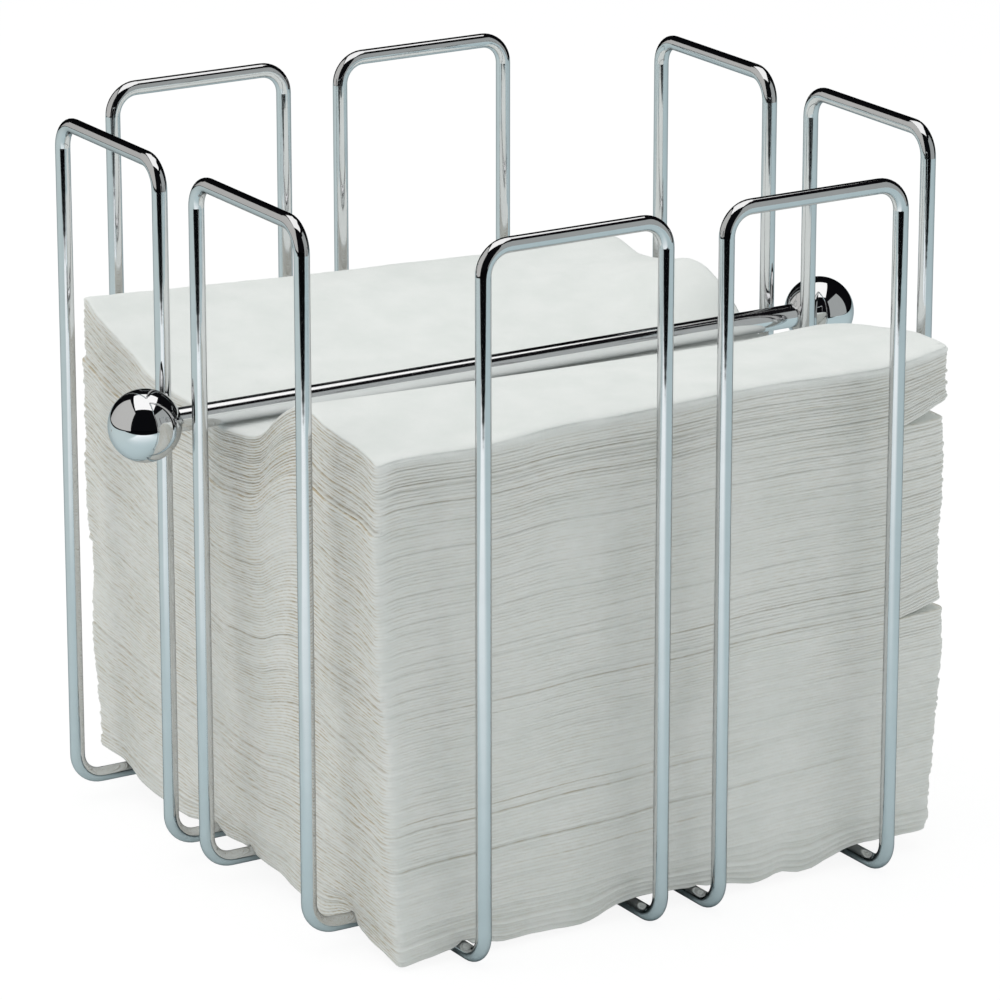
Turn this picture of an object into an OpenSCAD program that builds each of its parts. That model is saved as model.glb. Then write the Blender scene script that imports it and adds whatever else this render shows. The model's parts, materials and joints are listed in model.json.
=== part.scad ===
// Square wire napkin holder with a loose weight bar, holding a stack of folded paper napkins.
// Four endless wire hoops are laid crosswise and welded where they cross under the napkins.
// X runs along the weight bar, -Y is the front, Z is up and the origin is on the table, under the middle.

/* [Wire hoops] */
// Diameter of the hoop wire
wire_d = 4; // [3:0.1:5]
// Centre-line radius of every bend in a hoop
bend_r = 7; // [5:0.5:10]
// Room beside the napkins, from their edge to the leg centres at left and right
side_room = 10.7; // [9:0.1:20]
// Room from the napkins' edge to the leg centres at front and back
front_room = 13.6; // [9:0.1:20]
// Width of one front or back loop, between leg centres
front_loop_w = 52.6; // [40:0.2:58]
// Distance between the inner legs of the two front loops
front_slot_w = 17.8; // [12:0.2:24]
// Width of one side loop, between leg centres
side_loop_w = 53.7; // [40:0.2:58]
// Distance between the inner legs of the two side loops, where the bar slides
side_slot_w = 19.6; // [15:0.2:22]
// Height of the front and back loops above the table
front_loop_h = 188.6; // [170:0.2:220]
// Height of the side loops above the table
side_loop_h = 191; // [170:0.2:220]

/* [Welds] */
// Weld metal left between two wires that cross
weld_gap = 0.2; // [0.1:0.05:0.5]
// Diameter of the weld at a crossing
weld_d = 3.6; // [2:0.1:3.6]
// Height of the weld at a crossing
weld_h = 1.6; // [1:0.1:2]
// Length of the flush weld that closes each hoop
butt_weld_l = 1.2; // [0.6:0.1:3]

/* [Weight bar] */
// Diameter of the bar's rod
rod_d = 6.35; // [5:0.05:8]
// Diameter of the ball on each end
ball_d = 19; // [18:0.5:26]
// How far the bar can shift endways before a ball meets the legs
end_play = 4.6; // [1:0.1:8]
// Diameter of the turned-down end that holds a ball
spigot_d = 4; // [3:0.1:4.5]
// Length of the turned-down end
spigot_l = 9; // [5:0.5:10]
// Gap around a turned-down end in its ball
spigot_fit = 0.05; // [0.02:0.01:0.1]
// Depth left free past a turned-down end
spigot_end_gap = 0.4; // [0.2:0.1:1]

/* [Napkins] */
// Side of one folded napkin
napkin_w = 165; // [150:1:180]
// Shift of the stack to the right of the middle
stack_right = 3; // [0:0.5:4]
// Shift of the stack towards the front
stack_forward = 2; // [0:0.5:4]
// Height of the lower pack
lower_pack_h = 57.5; // [30:0.5:65]
// Height of the middle pack
middle_pack_h = 48.5; // [20:0.5:60]
// Height of the opened top pack at its front edge
top_pack_h = 17; // [16:0.5:30]
// Depth of the furrow that the bar presses into the top, below the front edge
bar_dip = 10.9; // [6:0.1:12]
// Half width of the furrow's floor under the bar
furrow_half_w = 6; // [5:0.5:8]
// Rise of the crest in front of the bar, above the front edge
crest_rise = 4; // [0:0.5:8]
// Distance of that crest from the bar
crest_reach = 43; // [30:1:55]
// Rise of the back edge above the front edge
back_rise = 1.5; // [0:0.5:6]
// Gap under the stack and under the bar
rest_gap = 0.3; // [0.2:0.05:0.5]

/* [Hidden] */
$fn = 64;
ball_sides = 128;

wire_r = wire_d / 2;
// Cuts run past the faces that they open by this much
overrun = 1;

// Planes and centre-lines of the legs
side_x = napkin_w / 2 + side_room;
front_y = napkin_w / 2 + front_room;
front_inner_x = front_slot_w / 2;
front_outer_x = front_inner_x + front_loop_w;
side_inner_y = side_slot_w / 2;
side_outer_y = side_inner_y + side_loop_w;
// Middle planes of the two hoops of each kind
front_hoop_x = front_inner_x + front_loop_w / 2;
side_hoop_y = side_inner_y + side_loop_w / 2;

// The front-to-back hoops lie on the table and the side hoops lie across them
front_base_z = wire_r;
side_base_z = front_base_z + wire_d + weld_gap;
front_top_z = front_loop_h - wire_r;
side_top_z = side_loop_h - wire_r;
crossing_z = (front_base_z + side_base_z) / 2;

// Each hoop is closed halfway between two crossings of its outer base run
front_butt_y = (side_inner_y + side_outer_y) / 2;
side_butt_x = (front_inner_x + front_outer_x) / 2;

// The stack rests on the side hoops, and its front and back edges hang to the front-to-back hoops
stack_z = side_base_z + wire_r + rest_gap;
edge_z = front_base_z + wire_r + rest_gap;
stack_h = lower_pack_h + middle_pack_h + top_pack_h;
stack_front_y = -napkin_w / 2 - stack_forward;
stack_back_y = napkin_w / 2 - stack_forward;
droop_y = side_outer_y + wire_d;
lower_share = lower_pack_h / stack_h;
middle_share = (lower_pack_h + middle_pack_h) / stack_h;
profile_steps = 44;

// The bar lies in the furrow, with its balls outside the legs
rod_z = stack_z + stack_h - bar_dip + rest_gap + rod_d / 2;
ball_r = ball_d / 2;
touch_r = ball_r + wire_r;
touch_x = sqrt(max(0, touch_r * touch_r - side_inner_y * side_inner_y));
ball_x = side_x + touch_x + end_play;
// A flat on each ball, a little wider than the rod, seats the rod's shoulder
seat_margin = 0.15;
seat_r = rod_d / 2 + seat_margin;
seat_x = sqrt(ball_r * ball_r - seat_r * seat_r);
rod_l = 2 * (ball_x - seat_x);

// Smooth steps from 0 to 1, eased at both ends or at the start only, and a mix of two values
function clamp01(u) = min(1, max(0, u));
function ease(u) = (1 - cos(180 * clamp01(u))) / 2;
function ease_in(u) = 1 - cos(90 * clamp01(u));
function mix(a, b, u) = a + (b - a) * u;

// Height of the stack's top and underside at a distance y from the bar
function front_top(y) = -y < crest_reach
    ? mix(-bar_dip, crest_rise, ease((-y - furrow_half_w) / (crest_reach - furrow_half_w)))
    : mix(crest_rise, 0, ease((-y - crest_reach) / (-stack_front_y - crest_reach)));
function back_top(y) =
    mix(-bar_dip, back_rise, ease_in((y - furrow_half_w) / (stack_back_y - furrow_half_w)));
function stack_top(y) = stack_z + stack_h + (y < 0 ? front_top(y) : back_top(y));
function edge_reach(y) = y < 0 ? -stack_front_y : stack_back_y;
function stack_bottom(y) =
    mix(stack_z, edge_z, ease((abs(y) - droop_y) / (edge_reach(y) - droop_y)));

// A layer of the stack at a share of its height, from 0 at the underside to 1 at the top
function layer(y, share) = mix(stack_bottom(y), stack_top(y), share);
function layer_line(share) = [
    for (i = [0 : profile_steps])
        let (y = mix(stack_front_y, stack_back_y, i / profile_steps))
        [y, layer(y, share)]
];
function reversed(list) = [for (i = [len(list) - 1 : -1 : 0]) list[i]];

// A straight wire along Z, from the plane z = 0
module straight(l) {
    cylinder(d = wire_d, h = l);
}

// A quarter bend in the XZ plane that starts upwards at the origin and leaves along +X
module bend() {
    translate([bend_r, 0, 0])
        rotate([90, 0, 0])
            rotate([0, 0, 90])
                rotate_extrude(angle = 90)
                    translate([bend_r, 0])
                        circle(d = wire_d);
}

// Half of an upright loop in the XZ plane: one leg at x = -half_w, its top bend and half the top
module half_loop(half_w, base_z, top_z) {
    translate([-half_w, 0, base_z + bend_r])
        straight(top_z - base_z - 2 * bend_r);
    translate([-half_w, 0, top_z - bend_r])
        bend();
    translate([-half_w + bend_r, 0, top_z])
        rotate([0, 90, 0])
            straight(half_w - bend_r);
}

// The bend at a leg's foot, which turns the wire from the leg into the base run along +Y
module foot_bend(base_z) {
    translate([0, 0, base_z + bend_r])
        mirror([0, 0, 1])
            rotate([0, 0, 90])
                bend();
}

// One upright loop at y = -reach, with its two feet turned towards the middle
module upright_loop(half_w, reach, base_z, top_z) {
    translate([0, -reach, 0])
        for (side = [0, 1])
            mirror([side, 0, 0]) {
                half_loop(half_w, base_z, top_z);
                translate([-half_w, 0, 0])
                    foot_bend(base_z);
            }
}

// The two base runs along Y that join a loop to the opposite one
module base_runs(half_w, reach, base_z) {
    run = 2 * (reach - bend_r);
    for (x = [-half_w, half_w])
        translate([x, -run / 2, base_z])
            rotate([-90, 0, 0])
                straight(run);
}

// An endless hoop along Y about the plane x = 0, open by the butt weld in its run at x = -half_w
module hoop(half_w, reach, base_z, top_z, butt_y) {
    difference() {
        union() {
            for (end = [0, 1])
                mirror([0, end, 0])
                    upright_loop(half_w, reach, base_z, top_z);
            base_runs(half_w, reach, base_z);
        }
        translate([-half_w - wire_d, butt_y - butt_weld_l / 2, base_z - wire_d])
            cube([2 * wire_d, butt_weld_l, 2 * wire_d]);
    }
}

// The weld that closes a hoop, ground flush with the wire
module butt_weld(half_w, base_z, butt_y) {
    translate([-half_w, butt_y - butt_weld_l / 2, base_z])
        rotate([-90, 0, 0])
            straight(butt_weld_l);
}

module front_back_hoop() {
    translate([-front_hoop_x, 0, 0])
        hoop(front_loop_w / 2, front_y, front_base_z, front_top_z, front_butt_y);
}

module side_hoop() {
    translate([0, -side_hoop_y, 0])
        rotate([0, 0, -90])
            hoop(side_loop_w / 2, side_x, side_base_z, side_top_z, side_butt_x);
}

module front_back_hoop_left() {
    color("silver")
        front_back_hoop();
}

module front_back_hoop_right() {
    color("silver")
        mirror([1, 0, 0])
            front_back_hoop();
}

module side_hoop_front() {
    color("silver")
        side_hoop();
}

module side_hoop_back() {
    color("silver")
        mirror([0, 1, 0])
            side_hoop();
}

module hoop_butt_welds() {
    color("lightgray")
        for (side = [0, 1]) {
            mirror([side, 0, 0])
                translate([-front_hoop_x, 0, 0])
                    butt_weld(front_loop_w / 2, front_base_z, front_butt_y);
            mirror([0, side, 0])
                translate([0, -side_hoop_y, 0])
                    rotate([0, 0, -90])
                        butt_weld(side_loop_w / 2, side_base_z, side_butt_x);
        }
}

// One weld between two crossing wires, as wide as it shows from beside them
module crossing_weld() {
    difference() {
        translate([0, 0, crossing_z - weld_h / 2])
            cylinder(d = weld_d, h = weld_h);
        translate([0, -weld_d / 2 - overrun, front_base_z])
            rotate([-90, 0, 0])
                straight(weld_d + 2 * overrun);
        translate([-weld_d / 2 - overrun, 0, side_base_z])
            rotate([0, 90, 0])
                straight(weld_d + 2 * overrun);
    }
}

module crossing_welds() {
    color("lightgray")
        for (x = [-front_outer_x, -front_inner_x, front_inner_x, front_outer_x])
            for (y = [-side_outer_y, -side_inner_y, side_inner_y, side_outer_y])
                translate([x, y, 0])
                    crossing_weld();
}

// The rod, with a turned-down end for each ball
module weight_rod() {
    color("gainsboro")
        translate([0, 0, rod_z])
            rotate([0, 90, 0]) {
                cylinder(d = rod_d, h = rod_l, center = true);
                cylinder(d = spigot_d, h = rod_l + 2 * spigot_l, center = true);
            }
}

// A ball about the Z axis, with its seat and blind hole towards -Z
module ball() {
    bore_d = spigot_d + 2 * spigot_fit;
    bore_l = spigot_l + spigot_end_gap;
    difference() {
        sphere(d = ball_d, $fn = ball_sides);
        translate([-ball_d, -ball_d, -seat_x - ball_d])
            cube([2 * ball_d, 2 * ball_d, ball_d]);
        translate([0, 0, -seat_x - overrun])
            cylinder(d = bore_d, h = bore_l + overrun);
    }
}

// The ball in its place on the right end of the rod
module placed_ball() {
    translate([ball_x, 0, rod_z])
        rotate([0, 90, 0])
            ball();
}

module ball_left() {
    color("gainsboro")
        mirror([1, 0, 0])
            placed_ball();
}

module ball_right() {
    color("gainsboro")
        placed_ball();
}

// A pack of napkins between two layers of the stack
module pack(from_share, to_share) {
    translate([stack_right - napkin_w / 2, 0, 0])
        rotate([90, 0, 90])
            linear_extrude(napkin_w)
                polygon(concat(layer_line(from_share), reversed(layer_line(to_share))));
}

module napkin_pack_lower() {
    color("whitesmoke")
        pack(0, lower_share);
}

module napkin_pack_middle() {
    color("white")
        pack(lower_share, middle_share);
}

module napkin_pack_top() {
    color("whitesmoke")
        pack(middle_share, 1);
}

front_back_hoop_left();
front_back_hoop_right();
side_hoop_front();
side_hoop_back();
hoop_butt_welds();
crossing_welds();
weight_rod();
ball_left();
ball_right();
napkin_pack_lower();
napkin_pack_middle();
napkin_pack_top();
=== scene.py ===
"""Looks of a square chrome wire napkin holder: its plated wires, weight bar and stack of folded napkins.

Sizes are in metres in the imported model's frame: X runs along the weight bar, -Y is the front, Z is up.
"""
import json
import math

import bpy
import numpy as np
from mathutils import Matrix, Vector

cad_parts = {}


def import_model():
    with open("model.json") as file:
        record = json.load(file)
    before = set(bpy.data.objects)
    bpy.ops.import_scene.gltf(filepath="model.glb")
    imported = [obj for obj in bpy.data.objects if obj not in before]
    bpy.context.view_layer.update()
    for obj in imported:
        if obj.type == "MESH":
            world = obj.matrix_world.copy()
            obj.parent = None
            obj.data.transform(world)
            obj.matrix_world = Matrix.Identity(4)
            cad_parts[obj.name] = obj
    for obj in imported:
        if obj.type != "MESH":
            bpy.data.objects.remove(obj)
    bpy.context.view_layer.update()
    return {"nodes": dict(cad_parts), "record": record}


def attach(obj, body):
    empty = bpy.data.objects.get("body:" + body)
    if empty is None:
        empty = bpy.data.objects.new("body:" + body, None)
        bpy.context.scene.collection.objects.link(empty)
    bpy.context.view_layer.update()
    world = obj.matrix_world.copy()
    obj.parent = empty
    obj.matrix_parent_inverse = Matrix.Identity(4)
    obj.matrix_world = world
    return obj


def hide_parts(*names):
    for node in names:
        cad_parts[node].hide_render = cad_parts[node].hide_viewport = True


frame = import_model()

# View of the photograph
VIEW_AZIMUTH = math.radians(-31.39)
VIEW_ELEVATION = math.radians(17.57)
VIEW_TARGET = Vector((0.0017, -0.0003, 0.0869))
VIEW_DISTANCE = 1.465
LENS_MM = 198.6
SENSOR_MM = 36.0

# Horizontal directions as the camera sees them
TOWARDS_CAMERA = Vector((math.sin(VIEW_AZIMUTH), -math.cos(VIEW_AZIMUTH), 0))
TO_THE_RIGHT = Vector((math.cos(VIEW_AZIMUTH), math.sin(VIEW_AZIMUTH), 0))

# Outline of the stack at shares of its height, as corners from front left counterclockwise
PLAN_LEVELS = (0.0, 0.20, 0.46, 0.70, 0.86, 1.0)
PLAN_CORNERS = (
    ((-0.0812, -0.0873), (0.0822, -0.0848), (0.0850, 0.0805), (-0.0792, 0.0796)),
    ((-0.0818, -0.0860), (0.0852, -0.0848), (0.0860, 0.0808), (-0.0795, 0.0804)),
    ((-0.0822, -0.0842), (0.0862, -0.0846), (0.0862, 0.0808), (-0.0801, 0.0807)),
    ((-0.0829, -0.0826), (0.0862, -0.0846), (0.0862, 0.0808), (-0.0801, 0.0809)),
    ((-0.0836, -0.0816), (0.0863, -0.0846), (0.0862, 0.0808), (-0.0802, 0.0811)),
    ((-0.0830, -0.0806), (0.0864, -0.0846), (0.0862, 0.0808), (-0.0805, 0.0812)),
)
BOTTOM_CORNERS, TOP_CORNERS = PLAN_CORNERS[0], PLAN_CORNERS[-1]
CORNER_RADIUS_SHARE = 0.013

# Height of the stack's top across its left end, its right part and its right end
LEFT_TOP = (
    (-0.0845, 0.1316), (-0.0790, 0.1326), (-0.0700, 0.1338), (-0.0580, 0.1356), (-0.0470, 0.1369),
    (-0.0400, 0.1363), (-0.0330, 0.1336), (-0.0262, 0.1291), (-0.0195, 0.1233), (-0.0160, 0.1219),
    (-0.0100, 0.1214), (0.0010, 0.1204), (0.0100, 0.1206), (0.0200, 0.1217), (0.0400, 0.1240),
    (0.0600, 0.1302), (0.0700, 0.1325), (0.0765, 0.1352), (0.0815, 0.1371),
)
MIDDLE_TOP = (
    (-0.0845, 0.1345), (-0.0620, 0.1352), (-0.0440, 0.1338), (-0.0260, 0.1280), (-0.0120, 0.1225),
    (-0.0040, 0.1209), (0.0000, 0.1206), (0.0040, 0.1208), (0.0110, 0.1216), (0.0300, 0.1246),
    (0.0560, 0.1288), (0.0815, 0.1300),
)
RIGHT_TOP = (
    (-0.0845, 0.1382), (-0.0660, 0.1368), (-0.0440, 0.1338), (-0.0240, 0.1284), (-0.0100, 0.1222),
    (0.0000, 0.1202), (0.0080, 0.1216), (0.0190, 0.1292), (0.0320, 0.1338), (0.0480, 0.1304),
    (0.0620, 0.1290), (0.0730, 0.1310), (0.0815, 0.1300),
)
# Where the right part's form is reached, and the bend of the change to it from the left end
MIDDLE_X = 0.052
LEFT_CHANGE_POWER = 0.8
# The left end's droop under the weight bar is over within this length, in a furrow of this half width
FURROW_LENGTH = 0.009
FURROW_WIDTH = 0.014
# Height of the top along its front edge, and how far in from it that counts, at the left end and beyond
FRONT_TOP = (
    (-0.0830, 0.1326), (-0.0780, 0.1332), (-0.0720, 0.1330), (-0.0640, 0.1326), (-0.0560, 0.1323),
    (-0.0440, 0.1329), (-0.0340, 0.1340), (-0.0120, 0.1344), (0.0100, 0.1351), (0.0370, 0.1355),
    (0.0550, 0.1351), (0.0680, 0.1352), (0.0790, 0.1366), (0.0870, 0.1384),
)
FRONT_TOP_DEPTHS = (0.006, 0.028)
FRONT_TOP_CHANGE = 0.030
# Faint creases across the top: both ends, height and half width, and the shares of length that fade
CREASES = (
    ((0.042, 0.051), (0.086, 0.059), 0.0007, 0.0028),
    ((0.010, -0.080), (0.084, -0.064), 0.0006, 0.0045),
    ((-0.050, 0.062), (0.020, 0.070), 0.0003, 0.0060),
)
CREASE_START_SHARE, CREASE_END_SHARE = 0.3, 0.15

# Height of the stack's underside, which rests on the upper base wires and hangs at its edges between them
REST_HEIGHT = 0.0085
LEAST_HEIGHT = 0.0003
FRONT_UNDERSIDE = (
    (-0.0820, 0.0003), (-0.0760, 0.0013), (-0.0718, 0.0018), (-0.0650, 0.0026), (-0.0550, 0.0024),
    (-0.0495, 0.0014), (-0.0430, 0.0016), (-0.0340, 0.0015), (-0.0255, 0.0011), (-0.0215, 0.0018),
    (-0.0178, 0.0034), (-0.0140, 0.0043), (0.0068, 0.0037), (0.0190, 0.0026), (0.0265, 0.0010),
    (0.0295, 0.0011), (0.0345, 0.0025), (0.0416, 0.0011), (0.0448, 0.0013), (0.0511, 0.0032),
    (0.0570, 0.0046), (0.0666, 0.0048), (0.0850, 0.0045),
)
BACK_UNDERSIDE = (
    (-0.0800, 0.0085), (-0.0615, 0.0070), (-0.0360, 0.0030), (-0.0089, 0.0043), (0.0089, 0.0043),
    (0.0360, 0.0016), (0.0615, 0.0043), (0.0850, 0.0045),
)
LEFT_UNDERSIDE = (
    (-0.0880, 0.0003), (-0.0843, 0.0011), (-0.0793, 0.0021), (-0.0718, 0.0035), (-0.0655, 0.0048),
    (-0.0605, 0.0053), (-0.0570, 0.0047), (-0.0525, 0.0027), (-0.0471, 0.0010), (-0.0430, 0.0009),
    (-0.0357, 0.0027), (-0.0309, 0.0033), (-0.0252, 0.0045), (-0.0209, 0.0051), (-0.0130, 0.0061),
    (-0.0074, 0.0068), (0.0070, 0.0058), (0.0180, 0.0060), (0.0270, 0.0040), (0.0380, 0.0043),
    (0.0520, 0.0057), (0.0640, 0.0084), (0.0805, 0.0085),
)
RIGHT_UNDERSIDE = (
    (-0.0870, 0.0046), (-0.0635, 0.0084), (-0.0370, 0.0050), (-0.0098, 0.0084), (0.0098, 0.0084),
    (0.0370, 0.0050), (0.0635, 0.0084), (0.0805, 0.0060),
)
EDGE_HANG = 0.016
# Base wires under the stack: their places, and the heights of the middles of those at places in X and in Y
BASE_WIRE_X = (-0.0615, -0.0089, 0.0089, 0.0615)
BASE_WIRE_Y = (-0.0635, -0.0098, 0.0098, 0.0635)
LOW_WIRE_HEIGHT, HIGH_WIRE_HEIGHT = 0.0020, 0.0062
# Paper over a wire: how far above the wire's middle it passes, half width of its rise, and the height that
# the whole stack would have if all its layers were as pinched as they are there
WIRE_CLEARANCE = 0.0024
DRAPE_WIDTH = 0.0065
PINCHED_THICKNESS = 0.020
# Heights at the corners of the even slope that the layers follow, above this share of the stack's height
SLOPE_CORNERS = (0.0006, 0.0040, 0.0050, 0.0088)
SLOPE_START = 0.10

# Packs: napkins in each, and the stack's share of height where it begins and ends
PACKS = (
    ("lower", 73, 0.0, 0.467),
    ("middle", 61, 0.467, 0.862),
    ("top", 23, 0.862, 1.0),
)
NAPKIN_COUNT = sum(count for _, count, _, _ in PACKS)
# How far each pack lies off the stack's middle
PACK_SHIFTS = {"lower": (0.0003, 0.0), "middle": (-0.0004, 0.0002), "top": (0.0003, -0.0002)}
STACK_HEIGHT = 0.126
NAPKIN_SIDE = 0.165
# Cells along each side of a pack, and how much they crowd at the corners
SIDE_CELLS = 84
CORNER_CROWDING = 0.45
# The packs part a little at the right end, with this bend
SEAM_START = 0.066
SEAM_POWER = 1.5
SEAM_RISES = {"lower": 0.0, "middle": 0.0020, "top": 0.0036}
SEAM_FALLS = {"lower": 0.0006, "middle": 0.0010, "top": 0.0}

# Waves through the stack: their lengths, their sizes, and the fewest layers in which one comes round
HEIGHT_WAVES = ((0.090, 0.047, 0.031, 0.019), (0.00022, 0.00014, 0.00008, 0.00004), 53)
EDGE_WAVES = ((0.120, 0.052, 0.028, 0.017), (0.00030, 0.00020, 0.00014, 0.00010), 24)
FINE_WAVES = ((0.0125, 0.0086, 0.0063), (0.00009, 0.00008, 0.00007), 3.0)
LOOSE_WAVES = ((0.058, 0.037, 0.024), (0.16, 0.14, 0.14), 21)
# Shares of the stack's height at its top and its foot where the waves in height die away
CALM_TOP_SHARE = 0.03
CALM_FOOT_SHARE = 0.08
# Spread of the napkins' shifts, turns and thicknesses, and of a further shift of the lowest ones
SHIFT_SPREAD = 0.00013
TURN_SPREAD = 0.0007
THICKNESS_SPREAD = (0.82, 1.18)
LOOSE_FOOT_COUNT = 9
LOOSE_FOOT_SPREAD = 0.0004
# The layers dip towards the near corner, most below this share of height from the top
CORNER_DIP = 0.0013
LOW_CORNER_DIP = 0.0025
LOW_DIP_SHARE = 0.3
CORNER_DIP_LENGTH = 0.009
# The left face swells and draws in along its front part: size and spacing of the swells, and a crest
SWELL_SIZE = 0.0011
SWELL_SPACING = 0.052
SWELL_CREST_Y = -0.005
# Where the swells end at the back and the front, how far they reach in, and how they grow with height
SWELL_BACK_Y, SWELL_BACK_CHANGE = 0.050, 0.040
SWELL_FRONT_Y, SWELL_FRONT_CHANGE = -0.083, 0.022
SWELL_REACH_SHARE = 0.06
LOW_SWELL_SHARE = 0.35
SWELL_GROWTH_START, SWELL_GROWTH_CHANGE = 0.30, 0.45
SWELL_FOOT_SHARE = 0.2

# Gaps between napkins: their depth and its spread, and the extra depth and number of the strong ones
GAP_DEPTH = 0.00027
GAP_SPREAD = (0.5, 1.2)
STRONG_GAP_DEPTH = 0.00032
STRONG_GAP_SHARE = 0.06
# A gap opens and closes along the edge: lengths of such runs, the swing about the middle, and the depths
GAP_RUNS = (0.10, 0.35)
RUN_MIDDLE, RUN_SWING = 0.5, 0.9
RUN_DEPTHS = (0.6, 1.2)
# How loosely the napkins lie: the usual value and its limits
LOOSE_MIDDLE = 0.9
LOOSE_LIMITS = (0.4, 1.4)
# Gaps grow deeper from the foot of the stack to its top, and are deeper with more painted shade near the
# top and the right end
HEIGHT_GAP_GAINS = (0.75, 1.25)
TOP_GAP_GAIN = 0.5
TOP_GAP_START, TOP_GAP_CHANGE = 0.80, 0.10
RIGHT_GAP_GAIN = 0.6
RIGHT_GAP_X, RIGHT_GAP_CHANGE = 0.03, 0.04
# They are shallower, with less painted shade, low down on the right, below this share of height and beyond
# this place
LOW_RIGHT_CALM = 0.45
CALM_BELOW, CALM_CHANGE = 0.48, 0.16
CALM_X, CALM_X_CHANGE = -0.030, 0.050
# The cut edges bunch up on the left face near the front corner, and their gaps are deeper there, with more
# painted shade
BUNCHED_GAP_GAIN = 0.45
BUNCHED_Y, BUNCHED_CHANGE = -0.025, 0.020
# Close to the near corner the gaps close up to this share
CLOSED_CORNER = 0.0055
CLOSED_CORNER_SHARE = 0.25

# The top edges are soft shoulders, and no gaps show in a band just under them, of which the upper part is
# quite smooth: values for front, right, back and left
SHOULDER_RADII = (0.0021, 0.0021, 0.0016, 0.0013)
SMOOTH_BANDS = (0.0028, 0.0020, 0.0020, 0.0008)
SMOOTH_SHARE = 0.4
# For the same sides: where the cut edges show, how deep the gaps are and how strong the painted warm shade
# in them is
CUT_SIDES = (0.0, 0.0, 1.0, 1.0)
GAP_SHARES = (0.85, 0.70, 1.0, 1.0)
GAP_SHADE_STRENGTHS = (0.17, 0.24, 0.60, 0.60)
# Painted shade in the strong gaps, and a faint painted shade over the wall wherever gaps show
STRONG_GAP_SHADE = 0.38
WALL_SHADE = 0.05
# Where the rows of one napkin's edge lie in its thickness, and how far in, as shares of the gap's depth
ROW_PLACES = (0.0, 0.28, 0.72)
FOLDED_INSETS = (1.0, 0.08, 0.08)
CUT_INSETS = (1.0, 0.05, 0.05)

SEED = 11


def mix(a, b, share):
    """Value between a and b."""
    return a + (b - a) * share


def ease(share):
    """Smooth step from 0 to 1."""
    share = np.clip(share, 0.0, 1.0)
    return share * share * (3 - 2 * share)


def curve(points, at):
    """Smooth curve through (place, value) points, read at many places."""
    place, value = np.array(points, float).T
    slope = np.gradient(value, place)
    at = np.clip(at, place[0], place[-1])
    i = np.clip(np.searchsorted(place, at) - 1, 0, len(place) - 2)
    step = place[i + 1] - place[i]
    u = (at - place[i]) / step
    return (
        value[i] * (1 + 2 * u) * (1 - u) ** 2
        + slope[i] * step * u * (1 - u) ** 2
        + value[i + 1] * u * u * (3 - 2 * u)
        + slope[i + 1] * step * u * u * (u - 1)
    )


# Form of the stack

def stack_top(x, y):
    """Height of the stack's top."""
    left = curve(LEFT_TOP, y)
    middle = curve(MIDDLE_TOP, y)
    right = curve(RIGHT_TOP, y)
    left_x, right_x = TOP_CORNERS[0][0], TOP_CORNERS[1][0]
    from_left = np.maximum(x - left_x, 0)
    furrow = np.exp(-(y / FURROW_WIDTH) ** 2)
    along = np.clip(from_left / (MIDDLE_X - left_x), 0, 1) ** LEFT_CHANGE_POWER
    to_middle = mix(along, 1 - np.exp(-from_left / FURROW_LENGTH), furrow)
    to_right = ease((x - MIDDLE_X) / (right_x - MIDDLE_X))
    height = mix(mix(left, middle, to_middle), right, to_right)
    front_y = TOP_CORNERS[0][1]
    front_depth = mix(*FRONT_TOP_DEPTHS, ease(from_left / FRONT_TOP_CHANGE))
    at_front = ease(1 - (y - front_y) / front_depth)
    return mix(height, curve(FRONT_TOP, x), at_front) + creases(x, y)


def creases(x, y):
    """Height of the faint creases on the stack's top."""
    total = 0.0
    for (start_x, start_y), (end_x, end_y), height, width in CREASES:
        length = math.hypot(end_x - start_x, end_y - start_y)
        along_x, along_y = (end_x - start_x) / length, (end_y - start_y) / length
        along = (x - start_x) * along_x + (y - start_y) * along_y
        across = (y - start_y) * along_x - (x - start_x) * along_y
        fade_in = ease(along / (CREASE_START_SHARE * length))
        fade_out = ease((length - along) / (CREASE_END_SHARE * length))
        total = total + height * (fade_in * fade_out) * np.exp(-(across / width) ** 2)
    return total


def stack_bottom(x, y):
    """Height of the stack's underside where no wire lifts it."""
    (left, front), (right, _), (_, back), _ = BOTTOM_CORNERS
    edges = (
        (FRONT_UNDERSIDE, x, y - front),
        (BACK_UNDERSIDE, x, back - y),
        (LEFT_UNDERSIDE, y, x - left),
        (RIGHT_UNDERSIDE, y, right - x),
    )
    hang = 0.0
    for points, along, inward in edges:
        hang = np.maximum(hang, (REST_HEIGHT - curve(points, along)) * ease(1 - inward / EDGE_HANG))
    return np.maximum(REST_HEIGHT - hang, LEAST_HEIGHT)


def over_wires(x, y):
    """Height of paper laid over the base wires, and nothing between them."""
    top = 0.0
    for places, height, at in ((BASE_WIRE_X, LOW_WIRE_HEIGHT, x), (BASE_WIRE_Y, HIGH_WIRE_HEIGHT, y)):
        for place in places:
            off = np.minimum(np.abs(at - place) / DRAPE_WIDTH, 1.0)
            top = np.maximum(top, (height + WIRE_CLEARANCE) * np.cos(0.5 * math.pi * off) ** 2)
    return top


def even_slope(x, y):
    """Height of the even slope that the layers above the underside follow."""
    (left, front), (right, _), (_, back), _ = BOTTOM_CORNERS
    across = (x - left) / (right - left)
    along = (y - front) / (back - front)
    front_left, front_right, back_right, back_left = SLOPE_CORNERS
    return mix(mix(front_left, front_right, across), mix(back_left, back_right, across), along)


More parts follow.
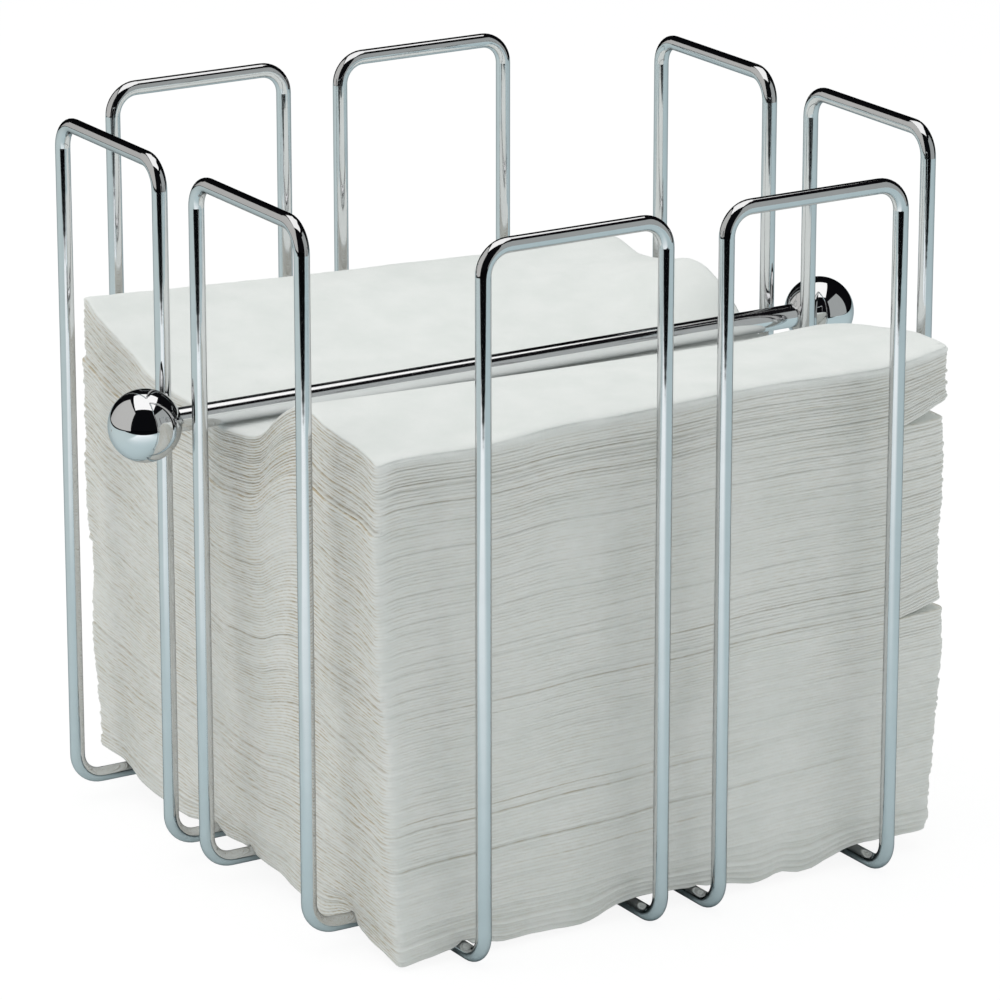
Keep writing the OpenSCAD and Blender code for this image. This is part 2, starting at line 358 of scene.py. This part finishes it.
def left_swell(a, y, share):
    """How far the left face swells out, or draws in, along its front part where the cut edges bunch up."""
    swell = SWELL_SIZE * np.cos(2 * math.pi * (y - SWELL_CREST_Y) / SWELL_SPACING)
    swell = swell * ease((SWELL_BACK_Y - y) / SWELL_BACK_CHANGE)
    swell = swell * ease((y - SWELL_FRONT_Y) / SWELL_FRONT_CHANGE)
    swell = swell * ease(1 - a / SWELL_REACH_SHARE)
    growth = ease((share - SWELL_GROWTH_START) / SWELL_GROWTH_CHANGE)
    return swell * mix(LOW_SWELL_SHARE, 1.0, growth) * ease(share / SWELL_FOOT_SHARE)


def seam(name, x, own_share):
    """How a pack curls away from the next ones at the right end."""
    part = ease((x - SEAM_START) / (TOP_CORNERS[1][0] - SEAM_START)) ** SEAM_POWER
    return part * (SEAM_RISES[name] * (1 - own_share) ** 2 - SEAM_FALLS[name] * own_share ** 2)


def in_plan(a, b, share):
    """Place in plan of a point of the unit square, at a share of the stack's height."""
    levels = np.array(PLAN_CORNERS)
    corners = [
        np.stack([np.interp(share, PLAN_LEVELS, levels[:, i, axis]) for axis in range(2)], -1)
        for i in range(4)
    ]
    a, b = np.asarray(a)[..., None], np.asarray(b)[..., None]
    return mix(mix(corners[0], corners[1], a), mix(corners[3], corners[2], a), b)


class Ripples:
    """Sum of sine waves over the plan and the height of the stack, the same for all packs."""

    def __init__(self, rng, lengths, sizes, layers_per_turn):
        self.waves = []
        for length, size in zip(lengths, sizes):
            heading = rng.uniform(0, 2 * math.pi)
            turns = rng.uniform(-1, 1) * 2 * math.pi / layers_per_turn
            self.waves.append((
                2 * math.pi / length * math.cos(heading),
                2 * math.pi / length * math.sin(heading),
                turns,
                rng.uniform(0, 2 * math.pi),
                size,
            ))

    def at(self, x, y, layer):
        total = 0.0
        for turns_x, turns_y, turns_layer, phase, size in self.waves:
            total = total + size * np.sin(turns_x * x + turns_y * y + turns_layer * layer + phase)
        return total


class Stack:
    """The whole stack's waves and each napkin's own shift, shared by the three packs."""

    def __init__(self):
        rng = np.random.default_rng(SEED)
        edges = NAPKIN_COUNT + 1
        self.height_waves = Ripples(rng, *HEIGHT_WAVES)
        self.edge_waves = Ripples(rng, *EDGE_WAVES)
        self.fine_waves = Ripples(rng, *FINE_WAVES)
        self.shift = rng.normal(0, SHIFT_SPREAD, (edges, 2))
        self.turn = rng.normal(0, TURN_SPREAD, edges)
        self.shift[:LOOSE_FOOT_COUNT] += rng.normal(0, LOOSE_FOOT_SPREAD, (LOOSE_FOOT_COUNT, 2))
        self.thickness = rng.uniform(*THICKNESS_SPREAD, NAPKIN_COUNT)
        self.gap = GAP_DEPTH * rng.uniform(*GAP_SPREAD, edges)
        self.strong = rng.random(edges) < STRONG_GAP_SHARE
        self.run_turns = 2 * math.pi / rng.uniform(*GAP_RUNS, edges)
        self.run_phase = rng.uniform(0, 2 * math.pi, edges)
        self.loose_waves = Ripples(rng, *LOOSE_WAVES)

    def gaps(self, x, y, share, layer):
        """The gap under each napkin: its depth, how strong it is and how loosely the napkins lie there."""
        k = layer.astype(int)
        run = np.sin(self.run_turns[k] * (x - y) + self.run_phase[k])
        run = np.clip(RUN_MIDDLE + RUN_SWING * run, 0, 1)
        loose = np.clip(LOOSE_MIDDLE + self.loose_waves.at(x, y, layer), *LOOSE_LIMITS)
        loose = loose + TOP_GAP_GAIN * ease((share - TOP_GAP_START) / TOP_GAP_CHANGE)
        loose = loose + RIGHT_GAP_GAIN * ease((x - RIGHT_GAP_X) / RIGHT_GAP_CHANGE)
        calm = ease((CALM_BELOW - share) / CALM_CHANGE) * ease((x - CALM_X) / CALM_X_CHANGE)
        loose = loose * (1 - LOW_RIGHT_CALM * calm)
        strength = np.where(self.strong[k], run, 0.0) * (1 - LOW_RIGHT_CALM * calm)
        depth = self.gap[k] * mix(*RUN_DEPTHS, run) * loose + STRONG_GAP_DEPTH * strength
        return depth * mix(*HEIGHT_GAP_GAINS, share), strength, loose

    def height(self, x, y, share, layer):
        """Height of a layer, between the underside and the top and never below the paper over a wire."""
        lift = self.height_waves.at(x, y, layer) * ease((1.0 - share) / CALM_TOP_SHARE)
        corner_x, corner_y = TOP_CORNERS[0]
        dip = mix(CORNER_DIP, LOW_CORNER_DIP, ease((1.0 - share) / LOW_DIP_SHARE))
        dip = dip * np.exp(-np.hypot(x - corner_x, y - corner_y) / CORNER_DIP_LENGTH)
        slope = even_slope(x, y)
        hang = (stack_bottom(x, y) - slope) * ease(1 - share / SLOPE_START)
        inside = ease(share / CALM_FOOT_SHARE)
        free = mix(slope, stack_top(x, y), share) + hang + (lift - dip) * inside
        return np.maximum(free, over_wires(x, y) + PINCHED_THICKNESS * share)

    def outline(self, a, b, out_a, out_b, share, layer, inset):
        """Place in plan of edge points, with each napkin's shift, turn, waves and rounding."""
        plan = in_plan(a, b, share)
        centre = np.array((mix(TOP_CORNERS[0][0], TOP_CORNERS[1][0], 0.5), 0.0))
        arm = plan - centre
        k = layer.astype(int)
        turned = np.stack((-arm[..., 1], arm[..., 0]), -1) * self.turn[k][..., None]
        wave = self.edge_waves.at(plan[..., 0], plan[..., 1], layer)
        wave = wave + self.fine_waves.at(plan[..., 0], plan[..., 1], layer)
        out = np.stack((out_a, out_b), -1)
        plan = plan + turned + self.shift[k] + out * (wave - inset)[..., None]
        plan[..., 0] -= left_swell(a, plan[..., 1], share)
        return plan


# Meshes of the packs

def side_stations():
    """Places along one side, from 0 to 1, closer together at the corners."""
    u = np.linspace(0, 1, SIDE_CELLS + 1)
    return u - CORNER_CROWDING * np.sin(2 * math.pi * u) / (2 * math.pi)


def border_cells():
    """Corners of the grid's cells along its border, counterclockwise from the front left."""
    n = SIDE_CELLS
    return (
        [(i, 0) for i in range(n)] + [(n, j) for j in range(n)]
        + [(n - i, n) for i in range(n)] + [(0, n - j) for j in range(n)]
    )


def inner_cells():
    """Corners of the grid's cells inside its border, row by row."""
    return [(i, j) for j in range(1, SIDE_CELLS) for i in range(1, SIDE_CELLS)]


def stations_at(cells):
    """Places across and along the unit square of corners of the grid's cells."""
    u = side_stations()
    return u[[i for i, j in cells]], u[[j for i, j in cells]]


def rounded(a, b):
    """Points of the unit square's border with its corners rounded, and the outward direction at each."""
    reach = 0.5 - CORNER_RADIUS_SHARE
    da, db = a - 0.5, b - 0.5
    over_a = np.maximum(np.abs(da) - reach, 0)
    over_b = np.maximum(np.abs(db) - reach, 0)
    length = np.hypot(over_a, over_b)
    out_a, out_b = np.sign(da) * over_a / length, np.sign(db) * over_b / length
    scale = np.maximum(over_a, over_b)
    return (
        0.5 + np.sign(da) * np.minimum(np.abs(da), reach) + out_a * scale,
        0.5 + np.sign(db) * np.minimum(np.abs(db), reach) + out_b * scale,
        out_a,
        out_b,
    )


def by_side(values, out_a, out_b):
    """A value for front, right, back and left, blended round the corners by the outward direction."""
    front, right, back, left = values
    across = np.where(out_a > 0, right, left) * out_a ** 2
    return across + np.where(out_b > 0, back, front) * out_b ** 2


def shoulder(below_top, radius):
    """How far a rounded top edge draws in, at a height below the top."""
    rest = np.clip(radius - below_top, 0, radius)
    return radius - np.sqrt(radius ** 2 - rest ** 2)


def wall_rows(stack, first, count):
    """Rows of a pack's wall from its foot up: layer, share of the pack's height and place in a napkin."""
    bounds = np.concatenate(([0.0], np.cumsum(stack.thickness[first:first + count])))
    bounds /= bounds[-1]
    rows = []
    for k in range(count):
        for phase, place in enumerate(ROW_PLACES):
            rows.append((first + k, mix(bounds[k], bounds[k + 1], place), phase))
    rows.append((first + count, 1.0, 0))
    layer, own_share, phase = zip(*rows)
    return np.array(layer, float), np.array(own_share), np.array(phase)


def pack_wall(stack, name, layer, own_share, share, phase):
    """Points of a pack's wall, how far each is drawn in, and how much painted shade of the gaps it shows.
    """
    a, b, out_a, out_b = rounded(*stations_at(border_cells()))
    shape = (len(share), len(a))

    # Values at each place round the pack, in each row or for each side, spread over the whole wall
    def wide(values):
        return np.broadcast_to(values[None, :], shape)

    def tall(values):
        return np.broadcast_to(values[:, None], shape)

    def sided(values):
        return wide(by_side(values, out_a, out_b))

    cut = sided(CUT_SIDES)
    open_corner = ease(np.maximum(a, b) * NAPKIN_SIDE / CLOSED_CORNER)
    layer, own_share, share, phase = tall(layer), tall(own_share), tall(share), tall(phase)
    a, b = wide(a), wide(b)

    below_top = (1 - share) * STACK_HEIGHT
    band = sided(SMOOTH_BANDS)
    showing = ease((below_top - SMOOTH_SHARE * band) / band)
    showing = showing * wide(mix(CLOSED_CORNER_SHARE, 1.0, open_corner))
    inset_share = mix(np.array(FOLDED_INSETS)[phase], np.array(CUT_INSETS)[phase], cut) * showing

    plan = in_plan(a, b, share)
    depth, strength, loose = stack.gaps(plan[..., 0], plan[..., 1], share, layer)
    bunched = 1 + BUNCHED_GAP_GAIN * (cut * ease((BUNCHED_Y - plan[..., 1]) / BUNCHED_CHANGE))
    inset = depth * bunched * sided(GAP_SHARES) * inset_share + shoulder(below_top, sided(SHOULDER_RADII))
    # Painted shade of the gaps: how strongly each point is darkened with the warm gap colour
    tint = sided(GAP_SHADE_STRENGTHS) * (loose * bunched) + STRONG_GAP_SHADE * strength
    tone = np.clip(inset_share * tint + WALL_SHADE * showing, 0, 1)

    plan = stack.outline(a, b, wide(out_a), wide(out_b), share, layer, inset) + PACK_SHIFTS[name]
    x, y = plan[..., 0], plan[..., 1]
    z = stack.height(x, y, share, layer) + seam(name, x, own_share)
    return np.stack((x, y, z), -1), inset, tone


def closing_points(stack, name, layer, own_share, share, margin):
    """Inner points of a pack's underside or top, which keep this share of a side away from its edges."""
    a, b = stations_at(inner_cells())
    plan = in_plan(mix(margin, 1 - margin, a), mix(margin, 1 - margin, b), share) + PACK_SHIFTS[name]
    x, y = plan[:, 0], plan[:, 1]
    z = stack.height(x, y, share, np.full(len(a), layer)) + seam(name, x, own_share)
    return np.column_stack((x, y, z))


def pack_faces(rows):
    """Faces of a pack: its wall, its underside and its top."""
    n = SIDE_CELLS
    border_index = {cell: p for p, cell in enumerate(border_cells())}
    around = len(border_index)
    faces = []
    for row in range(rows - 1):
        low, high = row * around, (row + 1) * around
        for p in range(around):
            q = (p + 1) % around
            faces.append((low + p, low + q, high + q, high + p))

    def index(i, j, edge_row, start):
        if 0 < i < n and 0 < j < n:
            return start + (j - 1) * (n - 1) + i - 1
        return edge_row * around + border_index[(i, j)]

    # Edge row and first inner point of each
    underside = (0, rows * around)
    top = (rows - 1, rows * around + len(inner_cells()))
    for level in (underside, top):
        for j in range(n):
            for i in range(n):
                corners = ((i, j), (i + 1, j), (i + 1, j + 1), (i, j + 1))
                face = tuple(index(*corner, *level) for corner in corners)
                faces.append(face if level is top else face[::-1])
    return faces


def new_mesh_object(name, points, faces, tones):
    """A smooth mesh that carries the gaps' painted shade as an attribute."""
    mesh = bpy.data.meshes.new(name)
    mesh.from_pydata([tuple(p) for p in points], [], faces)
    mesh.validate()
    # The attribute holds how much painted shade of the gaps each point shows
    attribute = mesh.attributes.new("gap", "FLOAT", "POINT")
    attribute.data.foreach_set("value", np.asarray(tones, np.float32))
    mesh.polygons.foreach_set("use_smooth", [True] * len(mesh.polygons))
    obj = bpy.data.objects.new(name, mesh)
    bpy.context.scene.collection.objects.link(obj)
    return obj


def pack_piece(stack, name, first, count, from_share, to_share):
    """A pack: its napkins' edges as rounded rows all round, closed by its underside and its top."""
    layer, own_share, phase = wall_rows(stack, first, count)
    share = mix(from_share, to_share, own_share)
    wall, inset, tone = pack_wall(stack, name, layer, own_share, share, phase)
    points = [wall.reshape(-1, 3)]
    tones = [tone.reshape(-1)]
    for row in (0, -1):
        margin = inset[row].max() / NAPKIN_SIDE
        points.append(closing_points(stack, name, layer[row], own_share[row], share[row], margin))
        tones.append(np.zeros(len(points[-1])))
    faces = pack_faces(len(share))
    return new_mesh_object(f"napkins_{name}", np.concatenate(points), faces, np.concatenate(tones))


def napkins():
    """The three packs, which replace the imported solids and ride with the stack."""
    stack = Stack()
    paper = napkin_paper()
    first = 0
    for name, count, from_share, to_share in PACKS:
        piece = pack_piece(stack, name, first, count, from_share, to_share)
        first += count
        piece.data.materials.append(paper)
        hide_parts(f"napkin_pack_{name}")
        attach(piece, "napkin_stack")


# Shader nodes

def connect(tree, value, socket):
    """Gives a socket a colour, a number or another node's output."""
    if isinstance(value, tuple):
        socket.default_value = (*value, 1.0)
    elif isinstance(value, (int, float)):
        socket.default_value = value
    else:
        tree.links.new(value, socket)


def math_node(tree, operation, *values):
    node = tree.nodes.new("ShaderNodeMath")
    node.operation = operation
    for socket, value in zip(node.inputs, values):
        connect(tree, value, socket)
    return node.outputs["Value"]


def product(tree, first, *others):
    for other in others:
        first = math_node(tree, "MULTIPLY", first, other)
    return first


def vector_node(tree, operation, vector, other=None):
    node = tree.nodes.new("ShaderNodeVectorMath")
    node.operation = operation
    tree.links.new(vector, node.inputs[0])
    if other is not None:
        node.inputs[1].default_value = other
    return node.outputs


def object_place(tree):
    return tree.nodes.new("ShaderNodeTexCoord").outputs["Object"]


def noise(tree, vector, scale, detail):
    node = tree.nodes.new("ShaderNodeTexNoise")
    node.inputs["Scale"].default_value = scale
    node.inputs["Detail"].default_value = detail
    tree.links.new(vector, node.inputs["Vector"])
    return node.outputs["Fac"]


def map_range(tree, value, from_range, to_range):
    """A node that takes a value from one range to another and keeps it inside."""
    node = tree.nodes.new("ShaderNodeMapRange")
    node.inputs["From Min"].default_value, node.inputs["From Max"].default_value = from_range
    node.inputs["To Min"].default_value, node.inputs["To Max"].default_value = to_range
    tree.links.new(value, node.inputs["Value"])
    return node


def step_down(tree, value, edge, width):
    """1 below the edge and 0 above it, with a soft change."""
    node = map_range(tree, value, (edge - width / 2, edge + width / 2), (1.0, 0.0))
    node.interpolation_type = "SMOOTHSTEP"
    return node.outputs["Result"]


def ramp(tree, value, from_range, to_range=(0.0, 1.0)):
    """A straight change from one range to another."""
    return map_range(tree, value, from_range, to_range).outputs["Result"]


def bump(tree, height, distance, strength, below=None):
    """A normal that shows a relief, on top of the one below."""
    node = tree.nodes.new("ShaderNodeBump")
    node.inputs["Distance"].default_value = distance
    node.inputs["Strength"].default_value = strength
    tree.links.new(height, node.inputs["Height"])
    if below is not None:
        tree.links.new(below, node.inputs["Normal"])
    return node.outputs["Normal"]


def mixed_colour(tree, factor, first, second):
    node = tree.nodes.new("ShaderNodeMix")
    node.data_type = "RGBA"
    tree.links.new(factor, node.inputs["Factor"])
    connect(tree, first, node.inputs["A"])
    connect(tree, second, node.inputs["B"])
    return node.outputs["Result"]


def mixed_shader(tree, factor, first, second):
    node = tree.nodes.new("ShaderNodeMixShader")
    connect(tree, factor, node.inputs["Fac"])
    tree.links.new(first, node.inputs[1])
    tree.links.new(second, node.inputs[2])
    return node.outputs["Shader"]


def diffuse(tree, colour):
    node = tree.nodes.new("ShaderNodeBsdfDiffuse")
    connect(tree, colour, node.inputs["Color"])
    return node.outputs["BSDF"]


def emission(tree, colour, strength):
    node = tree.nodes.new("ShaderNodeEmission")
    connect(tree, colour, node.inputs["Color"])
    connect(tree, strength, node.inputs["Strength"])
    return node.outputs["Emission"]


def background(tree, colour):
    node = tree.nodes.new("ShaderNodeBackground")
    connect(tree, colour, node.inputs["Color"])
    return node.outputs["Background"]


def shown_to(tree, to_camera, to_metal, to_others):
    """One shader for what the camera sees, one for reflections in metal and one for all other light."""
    path = tree.nodes.new("ShaderNodeLightPath").outputs
    not_camera = mixed_shader(tree, path["Is Glossy Ray"], to_others, to_metal)
    return mixed_shader(tree, path["Is Camera Ray"], not_camera, to_camera)


# Materials

def new_material(name):
    material = bpy.data.materials.new(name)
    material.use_nodes = True
    material.node_tree.nodes.clear()
    return material, material.node_tree


def new_principled(name):
    material, tree = new_material(name)
    output = tree.nodes.new("ShaderNodeOutputMaterial")
    shader = tree.nodes.new("ShaderNodeBsdfPrincipled")
    tree.links.new(shader.outputs["BSDF"], output.inputs["Surface"])
    return material, tree, shader


# Plating of each material slot: name, bright and dull colour, range of roughness, ripple and edge tint
FINISHES = {
    "hoop_wire": ("plated_wire", (0.78, 0.79, 0.80), (0.70, 0.71, 0.72), (0.03, 0.08), 0.00002, 0.40),
    "weld": ("plated_weld", (0.68, 0.69, 0.70), (0.55, 0.56, 0.57), (0.18, 0.34), 0.00010, 0.60),
    "bar_rod": ("polished_rod", (0.85, 0.86, 0.87), (0.79, 0.80, 0.81), (0.08, 0.13), 0.00001, 0.60),
    "bar_ball": ("polished_ball", (0.82, 0.83, 0.84), (0.78, 0.79, 0.80), (0.015, 0.04), 0.000005, 0.60),
}
SMUDGE_SCALE, SMUDGE_DETAIL = 160.0, 4.0
RIPPLE_SCALE, RIPPLE_DETAIL = 260.0, 1.0
RIPPLE_STRENGTH = 0.5


def chrome(name, bright, dull, roughness, ripple, edge):
    """Plated metal: faint smudges in colour and gloss, and a slight ripple from drawing and polishing."""
    material, tree, shader = new_principled(name)
    place = object_place(tree)
    smudge = noise(tree, place, SMUDGE_SCALE, SMUDGE_DETAIL)
    relief = bump(tree, noise(tree, place, RIPPLE_SCALE, RIPPLE_DETAIL), ripple, RIPPLE_STRENGTH)
    tree.links.new(mixed_colour(tree, smudge, bright, dull), shader.inputs["Base Color"])
    tree.links.new(ramp(tree, smudge, (0.0, 1.0), roughness), shader.inputs["Roughness"])
    tree.links.new(relief, shader.inputs["Normal"])
    shader.inputs["Metallic"].default_value = 1.0
    shader.inputs["Specular Tint"].default_value = (edge, edge, edge, 1)
    return material


def finish_metal():
    """Every wire, weld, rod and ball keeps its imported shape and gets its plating."""
    finishes = {slot_name: chrome(*values) for slot_name, values in FINISHES.items()}
    for part in frame["record"]["subparts"]:
        finish = finishes.get(part["material_slot"])
        if finish is None:
            continue
        for slot in frame["nodes"][part["node"]].material_slots:
            slot.material = finish


# Paper: patches of two tones, and the gaps' painted warm shade in dashes that are stretched along the
# plies
PATCH_SCALE, PATCH_DETAIL = 90.0, 5.0
PATCH_RANGE = (0.33, 0.67)
DIM_PAPER, BRIGHT_PAPER = (0.84, 0.858, 0.838), (0.89, 0.899, 0.883)
PLY_STRETCH = (1.0, 1.0, 5.0)
DASH_SCALE, DASH_DETAIL = 300.0, 2.0
DASH_RANGE, DASH_SHARES = (0.40, 0.62), (0.45, 1.25)
# Warm colour of the painted shade in the gaps
GAP_SHADE_COLOUR = (0.60, 0.51, 0.37)
# Relief of the paper: scale and detail of the noise, and the relief's depth and strength
CREPE_NOISE, CREPE_RELIEF = (1500.0, 2.0), (0.00012, 0.5)
FIBRE_NOISE, FIBRE_RELIEF = (420.0, 2.0), (0.00012, 0.40)
SOFT_NOISE, SOFT_RELIEF = (320.0, 3.0), (0.00026, 0.40)
PAPER_ROUGHNESS = 0.92
PAPER_SPECULAR = 0.25


def napkin_paper():
    """Soft white tissue: creped fibre, faint mottling and a painted warm shade in dashes between the
    plies.
    """
    material, tree, shader = new_principled("soft_tissue")
    place = object_place(tree)
    along_plies = vector_node(tree, "MULTIPLY", place, PLY_STRETCH)["Vector"]
    gap = tree.nodes.new("ShaderNodeAttribute")
    gap.attribute_name = "gap"
    patches = ramp(tree, noise(tree, place, PATCH_SCALE, PATCH_DETAIL), PATCH_RANGE)
    mottle = mixed_colour(tree, patches, DIM_PAPER, BRIGHT_PAPER)
    # Painted shade of the gaps, in dashes along the plies, mixed into the mottled paper colour
    dashes = ramp(tree, noise(tree, along_plies, DASH_SCALE, DASH_DETAIL), DASH_RANGE, DASH_SHARES)
    tone = mixed_colour(tree, product(tree, gap.outputs["Fac"], dashes), mottle, GAP_SHADE_COLOUR)
    tree.links.new(tone, shader.inputs["Base Color"])
    crepe = bump(tree, noise(tree, place, *CREPE_NOISE), *CREPE_RELIEF)
    fibre = bump(tree, noise(tree, along_plies, *FIBRE_NOISE), *FIBRE_RELIEF, crepe)
    soft = bump(tree, noise(tree, place, *SOFT_NOISE), *SOFT_RELIEF, fibre)
    tree.links.new(soft, shader.inputs["Normal"])
    shader.inputs["Roughness"].default_value = PAPER_ROUGHNESS
    shader.inputs["Specular IOR Level"].default_value = PAPER_SPECULAR
    return material


# Stage

WHITE = (1.0, 1.0, 1.0)
DARK = (0.004, 0.004, 0.005)
AMBIENT = (0.490, 0.517, 0.513)

FLOOR_RADIUS = 7.0
FLOOR_SIDES = 96
FLOOR_DROP = 0.0002
TABLE_COLOUR = (0.80, 0.80, 0.80)
# What the camera sees of the table is plain white with this share of shading for a faint shadow
CAMERA_GLOW = 1.05
SHADED_SHARE = 0.14
SHADED_COLOUR = (0.98, 0.98, 0.98)
# Sheet on the table that metal reflects, beyond which metal sees the table painted dark: how far it
# reaches from the middle, and its edge's width
SHEET_FRONT, SHEET_BACK, SHEET_SIDE = 0.575, 1.1, 1.0
SHEET_EDGE = 0.03
# Its part with painted light, a brighter colour and a glow: how far from the middle and how far forward it
# begins and is full, and its side edges
PAINTED_LIGHT_AWAY = (0.14, 0.60)
PAINTED_LIGHT_FORWARD = (0.14, 0.26)
PAINTED_LIGHT_RIGHT, PAINTED_LIGHT_RIGHT_WIDTH = 0.14, 0.28
PAINTED_LIGHT_LEFT, PAINTED_LIGHT_LEFT_WIDTH = 0.27, 0.08
PAINTED_LIGHT_COLOUR = (0.95, 0.965, 0.985)
PAINTED_GLOW = 0.42
PAINTED_GLOW_COLOUR = (0.95, 0.975, 1.0)
# Its part with painted shade: where the left colour gives way to the right one
PAINTED_SHADE_CHANGE, PAINTED_SHADE_CHANGE_WIDTH = -0.24, 0.30
PAINTED_SHADE_LEFT, PAINTED_SHADE_RIGHT = (0.675, 0.77, 0.79), (0.63, 0.75, 0.79)

# Overhead soft box, level and square to the view: place as the camera sees it, size, brightness and colour
OVERHEAD_FORWARD, OVERHEAD_RIGHTWARD, OVERHEAD_HEIGHT = -0.14, -0.06, 1.12
OVERHEAD_SIZE = (1.0, 1.24)
OVERHEAD_RADIANCE = 1.16
OVERHEAD_COLOUR = (1.0, 0.985, 0.975)
# Upright panels: bearing in degrees, width, height, height of the middle, brightness and colour
PANELS = {
    "left_panel": (-85, 1.9, 1.6, 0.85, 0.57, (1.0, 0.985, 0.955)),
    "right_panel": (70, 1.2, 1.2, 0.60, 0.40, (0.96, 1.0, 0.99)),
}


def painted_sheet_in_metal(tree):
    """The table as metal reflects it: a sheet with painted light on one part and painted shade on the
    rest, which ends in a painted dark.
    """
    place = object_place(tree)
    forward = vector_node(tree, "DOT_PRODUCT", place, TOWARDS_CAMERA)["Value"]
    rightward = vector_node(tree, "DOT_PRODUCT", place, TO_THE_RIGHT)["Value"]
    away = vector_node(tree, "LENGTH", place)["Value"]
    on_sheet = product(
        tree,
        step_down(tree, forward, SHEET_FRONT, SHEET_EDGE),
        step_down(tree, product(tree, forward, -1.0), SHEET_BACK, SHEET_EDGE),
        step_down(tree, math_node(tree, "ABSOLUTE", rightward), SHEET_SIDE, SHEET_EDGE),
    )
    # Painted light: where the sheet is coloured brighter and glows for metal
    painted_light = product(
        tree,
        ramp(tree, away, PAINTED_LIGHT_AWAY),
        ramp(tree, forward, PAINTED_LIGHT_FORWARD),
        step_down(tree, rightward, PAINTED_LIGHT_RIGHT, PAINTED_LIGHT_RIGHT_WIDTH),
        step_down(tree, product(tree, rightward, -1.0), PAINTED_LIGHT_LEFT, PAINTED_LIGHT_LEFT_WIDTH),
    )
    # Painted shade: the darker colours of the rest of the sheet
    on_left = step_down(tree, rightward, PAINTED_SHADE_CHANGE, PAINTED_SHADE_CHANGE_WIDTH)
    painted_shade = mixed_colour(tree, on_left, PAINTED_SHADE_RIGHT, PAINTED_SHADE_LEFT)
    sheet = mixed_colour(tree, painted_light, painted_shade, PAINTED_LIGHT_COLOUR)
    both = tree.nodes.new("ShaderNodeAddShader")
    # Off the sheet metal sees a painted dark, and on the part with painted light it also sees a painted
    # glow
    tree.links.new(diffuse(tree, mixed_colour(tree, on_sheet, DARK, sheet)), both.inputs[0])
    tree.links.new(emission(tree, PAINTED_GLOW_COLOUR, product(tree, painted_light, on_sheet, PAINTED_GLOW)), both.inputs[1])
    return both.outputs["Shader"]


def white_table():
    """White and faintly shadowed to the camera, a sheet of painted light and shade in a painted dark to
    metal, plain to all other light.
    """
    material, tree = new_material("white_table")
    plain_white = emission(tree, WHITE, CAMERA_GLOW)
    to_camera = mixed_shader(tree, SHADED_SHARE, plain_white, diffuse(tree, SHADED_COLOUR))
    shader = shown_to(tree, to_camera, painted_sheet_in_metal(tree), diffuse(tree, TABLE_COLOUR))
    output = tree.nodes.new("ShaderNodeOutputMaterial")
    tree.links.new(shader, output.inputs["Surface"])
    return material


def floor():
    """A wide round table top just under the wires."""
    mesh = bpy.data.meshes.new("floor")
    turns = [2 * math.pi * i / FLOOR_SIDES for i in range(FLOOR_SIDES)]
    rim = [(FLOOR_RADIUS * math.cos(t), FLOOR_RADIUS * math.sin(t), -FLOOR_DROP) for t in turns]
    mesh.from_pydata(rim, [], [tuple(range(FLOOR_SIDES))])
    obj = bpy.data.objects.new("floor", mesh)
    bpy.context.scene.collection.objects.link(obj)
    mesh.materials.append(white_table())


def world():
    """White to the camera, a dark studio to metal and an even soft light to everything else."""
    made = bpy.data.worlds.new("studio")
    bpy.context.scene.world = made
    made.use_nodes = True
    tree = made.node_tree
    tree.nodes.clear()
    shader = shown_to(tree, background(tree, WHITE), background(tree, DARK), background(tree, AMBIENT))
    output = tree.nodes.new("ShaderNodeOutputWorld")
    tree.links.new(shader, output.inputs["Surface"])


def soft_box(name, place, target, width, height, radiance, colour):
    """An area lamp of a given brightness, seen in metal and not by the camera."""
    data = bpy.data.lights.new(name, "AREA")
    data.shape = "RECTANGLE"
    data.size = width
    data.size_y = height
    data.energy = radiance * math.pi * width * height
    data.color = colour
    lamp = bpy.data.objects.new(name, data)
    bpy.context.scene.collection.objects.link(lamp)
    lamp.location = place
    lamp.rotation_mode = "QUATERNION"
    lamp.rotation_quaternion = (Vector(target) - Vector(place)).to_track_quat("-Z", "Y")
    lamp.visible_camera = False
    return lamp


def upright_panel(name, bearing, width, height, centre_height, radiance, colour):
    """A soft box standing one metre from the middle, at a bearing in degrees right of the camera."""
    turn = math.radians(bearing)
    centre = Vector((0, 0, centre_height))
    place = TOWARDS_CAMERA * math.cos(turn) + TO_THE_RIGHT * math.sin(turn) + centre
    soft_box(name, place, centre, width, height, radiance, colour)


def lights():
    under = TOWARDS_CAMERA * OVERHEAD_FORWARD + TO_THE_RIGHT * OVERHEAD_RIGHTWARD
    above = under + Vector((0, 0, OVERHEAD_HEIGHT))
    overhead = soft_box(
        "overhead_soft_box", above, under, *OVERHEAD_SIZE, OVERHEAD_RADIANCE, OVERHEAD_COLOUR)
    overhead.rotation_mode = "XYZ"
    overhead.rotation_euler = (0, 0, VIEW_AZIMUTH)
    for name, values in PANELS.items():
        upright_panel(name, *values)


def camera():
    data = bpy.data.cameras.new("camera")
    data.lens = LENS_MM
    data.sensor_width = SENSOR_MM
    obj = bpy.data.objects.new("camera", data)
    bpy.context.scene.collection.objects.link(obj)
    back = TOWARDS_CAMERA * math.cos(VIEW_ELEVATION) + Vector((0, 0, math.sin(VIEW_ELEVATION)))
    obj.location = VIEW_TARGET + back * VIEW_DISTANCE
    obj.rotation_mode = "QUATERNION"
    obj.rotation_quaternion = (-back).to_track_quat("-Z", "Y")
    bpy.context.scene.camera = obj


camera()
floor()
world()
lights()
finish_metal()
napkins()

scene = bpy.context.scene
scene.view_settings.view_transform = "Standard"
